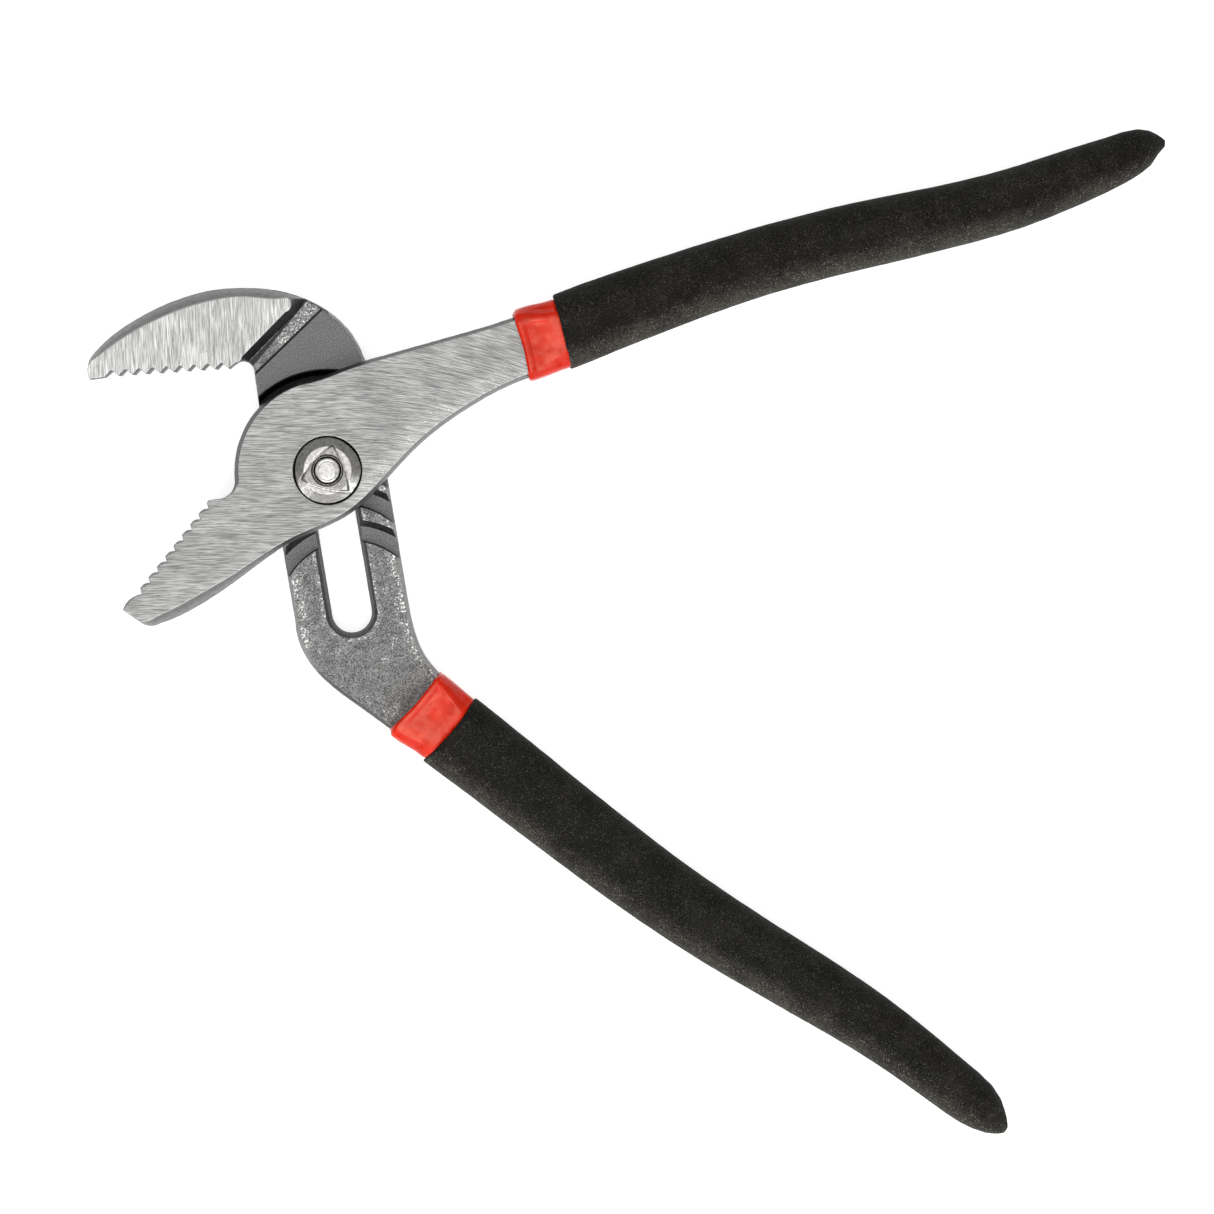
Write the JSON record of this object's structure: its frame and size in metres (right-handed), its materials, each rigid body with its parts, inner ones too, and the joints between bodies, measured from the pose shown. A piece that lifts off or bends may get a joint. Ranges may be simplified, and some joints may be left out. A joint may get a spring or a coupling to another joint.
{
  "type": "tongue and groove pliers",
  "caption": "Long-handled adjustable pliers with a slotted rear lever, a tongue that steps between arc grooves, toothed jaws and cushioned grips.",
  "frame": {"origin": "on the axis of the pivot bolt, at the flat outer face of the bolt's head, with the bolt at the top of the adjusting slot", "axes": "+Z along the bolt from its head to the locking nut, +Y along the adjusting slot towards the fixed upper jaw, +X towards the handles"},
  "size_m": [0.2831, 0.2479, 0.0164],
  "materials": {
    "rear_lever_steel": "blasted forging with a ground jaw face and milled grooves",
    "front_lever_steel": "face ground with fine streaks, sides blasted",
    "bolt_steel": "bright peened end",
    "nut_steel": "bright plated, slightly worn",
    "red_vinyl": "glossy dipped vinyl, faintly rippled",
    "black_foam": "matte fine-pored foam"
  },
  "bodies": {
    "rear_half": {"rear_lever": "rear_lever_steel", "rear_inner_sleeve": "red_vinyl", "rear_grip": "black_foam"},
    "pivot": {"pivot_bolt": "bolt_steel", "pivot_nut": "nut_steel"},
    "front_half": {"front_lever": "front_lever_steel", "front_inner_sleeve": "red_vinyl", "front_grip": "black_foam"}
  },
  "joints": [
    {"name": "slot_slide", "type": "slide", "parent": "rear_half", "child": "pivot", "axis": [0, -1, 0], "range_m": [0, 0.0368]},
    {"name": "jaw_hinge", "type": "hinge", "parent": "pivot", "child": "front_half", "pos_m": [0, 0, 0], "axis": [0, 0, 1], "range_deg": [-52, 3]}
  ]
}
